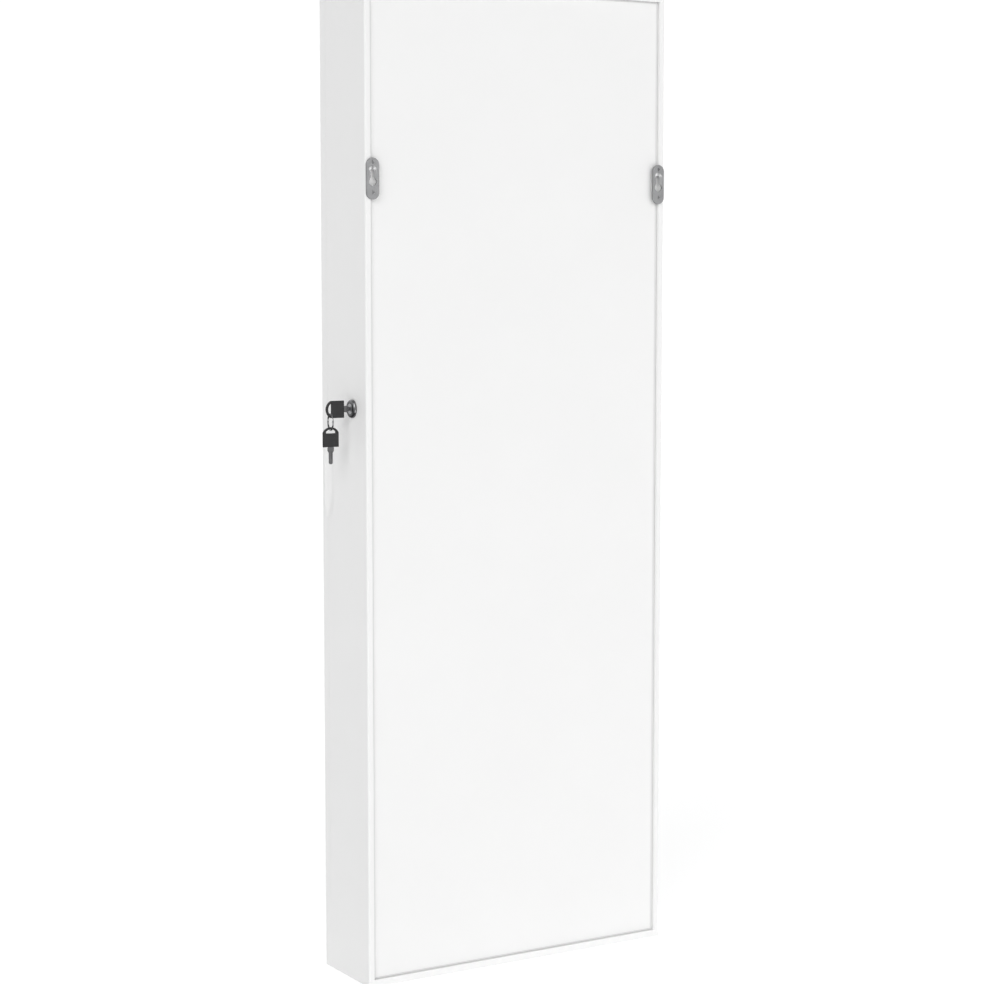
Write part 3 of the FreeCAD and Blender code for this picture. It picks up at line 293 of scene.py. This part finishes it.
WHITE = (0.875, 0.875, 0.873)
FINISH = {
    "white_board": board_finish("white_board", WHITE, 0.44),
    "back_sheet": sheet_finish("back_sheet", (0.878, 0.878, 0.876), 0.52, 0.18085, 0.00765, 1.05235, 0.0026, 0.0016),
    "dowel_wood": wood_finish("dowel_wood", (0.62, 0.44, 0.27), (0.46, 0.30, 0.17)),
    "backing_board": hardboard_finish("backing_board", (0.30, 0.19, 0.11), (0.20, 0.12, 0.07)),
    "hanger_steel": brushed("hanger_steel", (0.262, 0.262, 0.264), 0.40, along=(1.0, 1.0, 0.03), spread=0.05),
    "screw_steel": brushed("screw_steel", (0.40, 0.40, 0.405), 0.34, along=(1.0, 1.0, 1.0), spread=0.10),
    "hinge_steel": brushed("hinge_steel", (0.56, 0.56, 0.57), 0.30, along=(1.0, 1.0, 0.03), spread=0.08),
    "lock_chrome": bright_chrome("lock_chrome", (0.165, 0.165, 0.168), 0.17),
    "lock_core_metal": brushed("lock_core_metal", (0.48, 0.48, 0.485), 0.32, along=(1.0, 1.0, 1.0), spread=0.10),
    "key_plastic": moulded("key_plastic", (0.021, 0.021, 0.0215), 0.50, specular=0.3),
    "key_metal": brushed("key_metal", (0.165, 0.165, 0.167), 0.33, along=(1.0, 1.0, 0.05), spread=0.12),
    "ring_steel": bright_chrome("ring_steel", (0.21, 0.21, 0.213), 0.24),
    "mirror_silver": mirror_finish("mirror_silver"),
    "velvet": velvet_finish("velvet", (0.011, 0.011, 0.013), (0.021, 0.021, 0.024)),
    "acrylic_black": moulded("acrylic_black", (0.012, 0.012, 0.013), 0.12, grain=300.0, depth=0.03, specular=0.5),
    "rail_chrome": bright_chrome("rail_chrome", (0.80, 0.80, 0.81), 0.06),
    "catch_plastic": moulded("catch_plastic", (0.72, 0.72, 0.71), 0.42),
    "magnet_ferrite": ferrite_finish("magnet_ferrite"),
}
OWN_FINISH = {"back_panel": "back_sheet", "hanger_screws": "hanger_steel"}

slot_of = {part["node"]: part["material_slot"] for part in frame["record"]["subparts"]}
for name, obj in NODES.items():
    finish = FINISH[OWN_FINISH.get(name, slot_of[name])]
    if not obj.material_slots:
        obj.data.materials.append(finish)
    for place in obj.material_slots:
        place.material = finish

# ------------------------------------------------------------------ softened edges
def soften(name, width, segments=3):
    """Breaks the sharp edges of a hard piece by a fraction of a millimetre."""
    obj = NODES[name]
    weld = obj.modifiers.new("join", "WELD")
    weld.merge_threshold = 1e-6
    bevel = obj.modifiers.new("edges", "BEVEL")
    bevel.width = width
    bevel.segments = segments
    bevel.limit_method = "ANGLE"
    bevel.angle_limit = math.radians(35.0)
    bevel.use_clamp_overlap = True
    bevel.harden_normals = False
    return obj


for name, width in (("key_head", 0.00025), ("spare_key_head", 0.00025), ("key_blade", 0.0005), ("spare_key_blade", 0.0005),
                    ("door_rail_top", 0.0006), ("door_rail_bottom", 0.0006), ("door_stile_left", 0.0006),
                    ("hook_rail", 0.0008), ("divider", 0.0008), ("shelf_upper", 0.001), ("shelf_middle", 0.001),
                    ("shelf_lower", 0.001), ("lock_nut", 0.0004), ("catch_housing", 0.0005), ("lock_cam", 0.0003)):
    soften(name, width)


# ------------------------------------------------------------------ mesh helpers
def new_piece(name, mesh, finish):
    obj = bpy.data.objects.new(name, mesh)
    scene.collection.objects.link(obj)
    if finish is not None:
        mesh.materials.clear()
        mesh.materials.append(FINISH[finish])
    for face in mesh.polygons:
        face.use_smooth = True
    return obj


def baked(obj):
    """The object's mesh with its modifiers worked in."""
    graph = bpy.context.evaluated_depsgraph_get()
    return bpy.data.meshes.new_from_object(obj.evaluated_get(graph), depsgraph=graph)


def loft(name, rings, closed=False):
    """Tube through rings of points, with flat ends unless it closes on itself."""
    bm = bmesh.new()
    rows = [[bm.verts.new(p) for p in ring] for ring in rings]
    count = len(rows[0])
    pairs = list(zip(rows, rows[1:])) + ([(rows[-1], rows[0])] if closed else [])
    for one, two in pairs:
        for k in range(count):
            bm.faces.new((one[k], one[(k + 1) % count], two[(k + 1) % count], two[k]))
    if not closed:
        bm.faces.new(list(reversed(rows[0])))
        bm.faces.new(rows[-1])
    bmesh.ops.recalc_face_normals(bm, faces=bm.faces)
    mesh = bpy.data.meshes.new(name)
    bm.to_mesh(mesh)
    bm.free()
    return mesh


def stuffed(name, mesh, finish, voxel, cap, levels):
    """Blows a slightly small closed form up as cloth, so that its faces crown and its edges pull in."""
    obj = new_piece(name + "_blank", mesh, None)
    shell = obj.modifiers.new("shell", "REMESH")
    shell.mode = "VOXEL"
    shell.voxel_size = voxel
    skin = baked(obj)
    bpy.data.objects.remove(obj)
    obj = new_piece(name, skin, finish)
    rest = [v.co.copy() for v in skin.vertices]
    cloth = obj.modifiers.new("cloth", "CLOTH")
    cloth.settings.quality = 6
    cloth.settings.mass = 0.25
    cloth.settings.tension_stiffness = 22
    cloth.settings.compression_stiffness = 22
    cloth.settings.shear_stiffness = 8
    cloth.settings.bending_stiffness = 0.6
    cloth.settings.use_pressure = True
    cloth.settings.uniform_pressure_force = 4.0
    cloth.settings.effector_weights.gravity = 0.0
    cloth.point_cache.frame_start = 1
    cloth.point_cache.frame_end = 20
    for at in range(1, 21):
        scene.frame_set(at)
    blown = baked(obj)
    obj.modifiers.remove(cloth)
    scene.frame_set(1)
    for v, start, end in zip(skin.vertices, rest, blown.vertices):
        step = end.co - start
        if step.length > cap:
            step *= cap / step.length
        v.co = start + step
    bpy.data.meshes.remove(blown)
    fine = obj.modifiers.new("fine", "SUBSURF")
    fine.levels = fine.render_levels = levels
    smooth = baked(obj)
    obj.modifiers.remove(fine)
    obj.data = smooth
    smooth.materials.clear()
    smooth.materials.append(FINISH[finish])
    for face in smooth.polygons:
        face.use_smooth = True
    return obj


def box_form(name, lo, hi, corner):
    """Closed block with rounded upright corners, and its own thin layers near top and bottom."""
    rings = []
    depth = hi[2] - lo[2]
    for share, inset in ((0.0, 0.0025), (0.12, 0.0006), (0.5, 0.0), (0.86, 0.0008), (1.0, 0.003)):
        z = lo[2] + depth * share
        ring = []
        for cx, cy, start in ((hi[0] - corner, hi[1] - corner, 0), (lo[0] + corner, hi[1] - corner, 90),
                              (lo[0] + corner, lo[1] + corner, 180), (hi[0] - corner, lo[1] + corner, 270)):
            for k in range(7):
                a = math.radians(start + 15 * k)
                r = corner - inset
                ring.append((cx + r * math.cos(a), cy + r * math.sin(a), z))
        rings.append(ring)
    return loft(name, rings)


# ------------------------------------------------------------------ ring cushion
lo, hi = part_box("ring_cushion")
cushion = stuffed("ring_roll_cushion",
                  box_form("ring_roll_cushion_form", (lo[0] + 0.002, lo[1] + 0.002, lo[2] + 0.0008),
                           (hi[0] - 0.002, hi[1] - 0.002, hi[2] - 0.0030), 0.006),
                  "velvet", 0.004, 0.004, 2)
ROLLS = 5
pitch = (hi[1] - lo[1]) / ROLLS
for v in cushion.data.vertices:
    x, y, z = v.co
    up = min(1.0, max(0.0, (z - (lo[2] + 0.010)) / 0.010))
    if up > 0.0:
        # rolls that part to hold rings, with a deep narrow slit between each two
        phase = (y - lo[1]) / pitch
        near = abs(phase - round(phase)) * pitch
        if 0 < round(phase) < ROLLS:
            ends = min(1.0, max(0.0, (min(x - lo[0], hi[0] - x) - 0.004) / 0.006))
            v.co.z -= up * ends * 0.0085 * math.exp(-((near / 0.00125) ** 2))
        crest = math.cos(math.pi * (phase - math.floor(phase) - 0.5))
        v.co.z += up * 0.0016 * (crest - 0.6)
    # sewn line that closes the cover low on its sides
    v.co.x += -math.copysign(0.0009, x - (lo[0] + hi[0]) / 2) * math.exp(-(((z - lo[2] - 0.0060) / 0.0009) ** 2)) \
        if min(x - lo[0], hi[0] - x) < 0.004 else 0.0
    v.co.y += -math.copysign(0.0009, y - (lo[1] + hi[1]) / 2) * math.exp(-(((z - lo[2] - 0.0060) / 0.0009) ** 2)) \
        if min(y - lo[1], hi[1] - y) < 0.004 else 0.0
    v.co.z += 0.0005 * noise.noise(Vector((x * 60, y * 60, z * 60))) * up
    v.co.x = min(max(v.co.x, lo[0] - 0.0005), hi[0] + 0.0005)
    v.co.y = min(max(v.co.y, lo[1] - 0.0005), hi[1] + 0.0005)
    v.co.z = min(max(v.co.z, lo[2]), hi[2] + 0.0012)
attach(cushion, "case")
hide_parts("ring_cushion")

# ------------------------------------------------------------------ bracelet roll
lo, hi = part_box("bracelet_sleeve")
mid_y, mid_z = (lo[1] + hi[1]) / 2, (lo[2] + hi[2]) / 2
half = (hi[0] - lo[0]) / 2
rings = []
for share in [-1.0, -0.985, -0.96, -0.9] + [k / 10 - 0.8 for k in range(17)] + [0.9, 0.96, 0.985, 1.0]:
    r = 0.0137 if abs(share) < 0.95 else (0.0132 if abs(share) < 0.97 else (0.0122 if abs(share) < 0.99 else 0.0095))
    rings.append([(share * (half - 0.001), mid_y + r * math.cos(math.radians(a)), mid_z + r * math.sin(math.radians(a)))
                  for a in range(0, 360, 15)])
roll = stuffed("bracelet_roll", loft("bracelet_roll_form", rings), "velvet", 0.004, 0.0016, 2)
for v in roll.data.vertices:
    x, y, z = v.co
    dy, dz = y - mid_y, z - mid_z
    r = math.hypot(dy, dz)
    if r < 1e-6:
        continue
    angle = math.atan2(dz, dy)
    edge = half - abs(x)
    fat = r
    # long seam on the wall side, and small gathers where the cover is drawn in at its ends
    fat -= 0.0012 * math.exp(-((angle - 0.35) / 0.075) ** 2) * min(1.0, max(0.0, edge / 0.01))
    gather = math.exp(-(edge / 0.012) ** 2)
    fat += 0.00055 * gather * math.sin(18 * angle + 3 * noise.noise(Vector((angle, x * 10, 0))))
    fat -= 0.0010 * math.exp(-((edge - 0.0065) / 0.0012) ** 2)
    fat += 0.00035 * noise.noise(Vector((x * 45, dy * 90, dz * 90)))
    fat = min(fat, 0.0153)
    v.co.y = mid_y + dy / r * fat
    v.co.z = mid_z + dz / r * fat
    v.co.x = min(max(x, lo[0]), hi[0])
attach(roll, "case")
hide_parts("bracelet_sleeve")

# ------------------------------------------------------------------ split ring
lo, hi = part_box("key_ring")
centre = Vector(((lo[0] + hi[0]) / 2, (lo[1] + hi[1]) / 2, (lo[2] + hi[2]) / 2))
turned = Matrix.Rotation(math.radians(-9.2), 4, "Z")
lane, wire_x, r_in, r_out, soft = 0.00040, 0.00037, 0.00792, 0.00907, 0.00014
section = []
for sx, sr, start in ((1, 1, 0), (-1, 1, 90), (-1, -1, 180), (1, -1, 270)):
    for k in range(4):
        a = math.radians(start + 30 * k)
        section.append((sx * (wire_x - soft) + soft * math.cos(a), (r_in + r_out) / 2 + sr * ((r_out - r_in) / 2 - soft) + soft * math.sin(a)))
rings = []
first, last, jog = 0.36, 4 * math.pi - 0.36, 0.34
steps = 260
for i in range(steps + 1):
    t_ = first + (last - first) * i / steps
    share = min(1.0, max(0.0, (t_ - (2 * math.pi - jog)) / (2 * jog)))
    across = lane * (2 * share * share * (3 - 2 * share) - 1)
    thin = 1.0
    end = min(t_ - first, last - t_)
    if end < 0.05:
        thin = 0.55 + 0.45 * math.sqrt(end / 0.05)
    angle = t_ + 0.6
    ring = []
    for px, pr in section:
        pr = (r_in + r_out) / 2 + (pr - (r_in + r_out) / 2) * thin
        ring.append(centre + turned @ Vector((across + px * thin, pr * math.cos(angle), pr * math.sin(angle))))
    rings.append(ring)
coil = new_piece("split_ring", loft("split_ring", rings), "ring_steel")
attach(coil, "ring")
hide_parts("key_ring")

# ------------------------------------------------------------------ camera
PHOTO_AZIMUTH, PHOTO_PITCH = math.radians(148.837), math.radians(5.641)
back_way = Vector((math.sin(PHOTO_AZIMUTH) * math.cos(PHOTO_PITCH),
                   -math.cos(PHOTO_AZIMUTH) * math.cos(PHOTO_PITCH), math.sin(PHOTO_PITCH)))
lens = bpy.data.cameras.new("photo_camera")
camera = bpy.data.objects.new("photo_camera", lens)
scene.collection.objects.link(camera)
camera.location = (1.3185, 2.1722, 0.7671)
camera.rotation_mode = "QUATERNION"
camera.rotation_quaternion = (-back_way).to_track_quat("-Z", "Y")
lens.sensor_width = 36.0
lens.lens = 84.83
lens.clip_start, lens.clip_end = 0.05, 60.0
scene.camera = camera
scene.view_settings.view_transform = "Standard"
scene.view_settings.look = "None"
scene.view_settings.exposure = 0.0
scene.view_settings.gamma = 1.0

# ------------------------------------------------------------------ floor and light
floor_mesh = bpy.data.meshes.new("floor")
floor_mesh.from_pydata([(-9, -9, -0.0006), (9, -9, -0.0006), (9, 9, -0.0006), (-9, 9, -0.0006)], [], [(0, 1, 2, 3)])
floor = bpy.data.objects.new("floor", floor_mesh)
scene.collection.objects.link(floor)
floor.visible_glossy = False
t = Tree("floor_paper")
paper = t.mix(t.noise(3.0, 3.0), (0.93, 0.93, 0.93), (0.95, 0.95, 0.95))
t.set(colour=paper, rough=t.span(t.noise(40.0), 0.3, 0.7, 0.85, 0.95), specular=0.1)
t.shader.inputs["Emission Color"].default_value = (1, 1, 1, 1)
t.shader.inputs["Emission Strength"].default_value = 0.335
floor_mesh.materials.append(t.material)

world = bpy.data.worlds.new("studio")
scene.world = world
world.use_nodes = True
wt = world.node_tree
wt.nodes.clear()
w_out = wt.nodes.new("ShaderNodeOutputWorld")
path = wt.nodes.new("ShaderNodeLightPath")
place = wt.nodes.new("ShaderNodeTexCoord")
parts = wt.nodes.new("ShaderNodeSeparateXYZ")
wt.links.new(place.outputs["Generated"], parts.inputs[0])
soft = wt.nodes.new("ShaderNodeBackground")
soft.inputs["Color"].default_value = (1.0, 1.0, 1.0, 1.0)
soft.inputs["Strength"].default_value = 0.432
seen = wt.nodes.new("ShaderNodeBackground")
seen.inputs["Color"].default_value = (1.0, 1.0, 1.0, 1.0)
seen.inputs["Strength"].default_value = 1.05
gloss = wt.nodes.new("ShaderNodeBackground")
gloss.inputs["Strength"].default_value = 1.0
# what bright metal and the mirror show: a pale room, darker low down, with two slanting soft panels
height = wt.nodes.new("ShaderNodeValToRGB")
to_share = wt.nodes.new("ShaderNodeMapRange")
to_share.inputs["From Min"].default_value = -1.0
to_share.inputs["From Max"].default_value = 1.0
wt.links.new(parts.outputs["Z"], to_share.inputs["Value"])
wt.links.new(to_share.outputs["Result"], height.inputs["Fac"])
stops = [(0.0, 0.10), (0.28, 0.22), (0.42, 0.50), (0.50, 0.66), (0.60, 0.86), (0.74, 1.10), (0.88, 0.75), (1.0, 0.30)]
while len(height.color_ramp.elements) < len(stops):
    height.color_ramp.elements.new(0.5)
for element, (at, grey) in zip(height.color_ramp.elements, stops):
    element.position = at
    element.color = (grey * 0.985, grey * 0.995, grey * 1.01, 1.0)
slant = wt.nodes.new("ShaderNodeMath")
slant.operation = "MULTIPLY_ADD"
slant.inputs[1].default_value = 0.42
wt.links.new(parts.outputs["Z"], slant.inputs[0])
wt.links.new(parts.outputs["X"], slant.inputs[2])
panels = wt.nodes.new("ShaderNodeValToRGB")
share = wt.nodes.new("ShaderNodeMapRange")
share.inputs["From Min"].default_value = -0.5
share.inputs["From Max"].default_value = 0.5
wt.links.new(slant.outputs[0], share.inputs["Value"])
wt.links.new(share.outputs["Result"], panels.inputs["Fac"])
bands = [(0.0, 0.0), (0.30, 0.05), (0.455, 0.0), (0.475, 0.16), (0.515, 0.16), (0.535, 0.0), (0.70, 0.0), (1.0, 0.10)]
while len(panels.color_ramp.elements) < len(bands):
    panels.color_ramp.elements.new(0.5)
for element, (at, grey) in zip(panels.color_ramp.elements, bands):
    element.position = at
    element.color = (grey, grey, grey, 1.0)
both = wt.nodes.new("ShaderNodeMix")
both.data_type = "RGBA"
both.blend_type = "ADD"
both.inputs["Factor"].default_value = 1.0
wt.links.new(height.outputs["Color"], both.inputs[6])
wt.links.new(panels.outputs["Color"], both.inputs[7])
# three round soft boxes that only bright metal shows: in the rosette's rim and in the hanger dishes
glow = both.outputs[2]
for way, edge, full, strength in (((0.379, 0.485, 0.788), 0.945, 0.985, 3.8), ((0.041, 0.877, -0.478), 0.930, 0.975, 5.0),
                                  ((-0.848, 0.405, -0.340), 0.930, 0.975, 5.0)):
    toward = wt.nodes.new("ShaderNodeVectorMath")
    toward.operation = "DOT_PRODUCT"
    wt.links.new(place.outputs["Generated"], toward.inputs[0])
    toward.inputs[1].default_value = way
    disc = wt.nodes.new("ShaderNodeMapRange")
    disc.interpolation_type = "SMOOTHSTEP"
    disc.inputs["From Min"].default_value = edge
    disc.inputs["From Max"].default_value = full
    disc.inputs["To Max"].default_value = strength
    wt.links.new(toward.outputs["Value"], disc.inputs["Value"])
    add = wt.nodes.new("ShaderNodeMix")
    add.data_type = "RGBA"
    add.blend_type = "ADD"
    add.inputs["Factor"].default_value = 1.0
    wt.links.new(glow, add.inputs[6])
    wt.links.new(disc.outputs["Result"], add.inputs[7])
    glow = add.outputs[2]
wt.links.new(glow, gloss.inputs["Color"])
first = wt.nodes.new("ShaderNodeMixShader")
second = wt.nodes.new("ShaderNodeMixShader")
wt.links.new(path.outputs["Is Glossy Ray"], first.inputs[0])
wt.links.new(soft.outputs[0], first.inputs[1])
wt.links.new(gloss.outputs[0], first.inputs[2])
wt.links.new(path.outputs["Is Camera Ray"], second.inputs[0])
wt.links.new(first.outputs[0], second.inputs[1])
wt.links.new(seen.outputs[0], second.inputs[2])
wt.links.new(second.outputs[0], w_out.inputs[0])


def lamp(name, azimuth, elevation, strength, spread):
    """A far, soft lamp. Azimuth runs from +X towards +Y, in degrees."""
    data = bpy.data.lights.new(name, "SUN")
    data.energy = strength
    data.angle = math.radians(spread)
    obj = bpy.data.objects.new(name, data)
    scene.collection.objects.link(obj)
    az, el = math.radians(azimuth), math.radians(elevation)
    way = Vector((math.cos(az) * math.cos(el), math.sin(az) * math.cos(el), math.sin(el)))
    obj.location = way * 5.0
    obj.rotation_mode = "QUATERNION"
    obj.rotation_quaternion = way.to_track_quat("Z", "Y")
    return obj


lamp("key_light", 36.6, 28.0, 0.757, 30.0)
lamp("rear_fill", 102.0, 23.0, 0.655, 50.0)
lamp("front_fill", 253.0, 35.0, 0.80, 50.0)
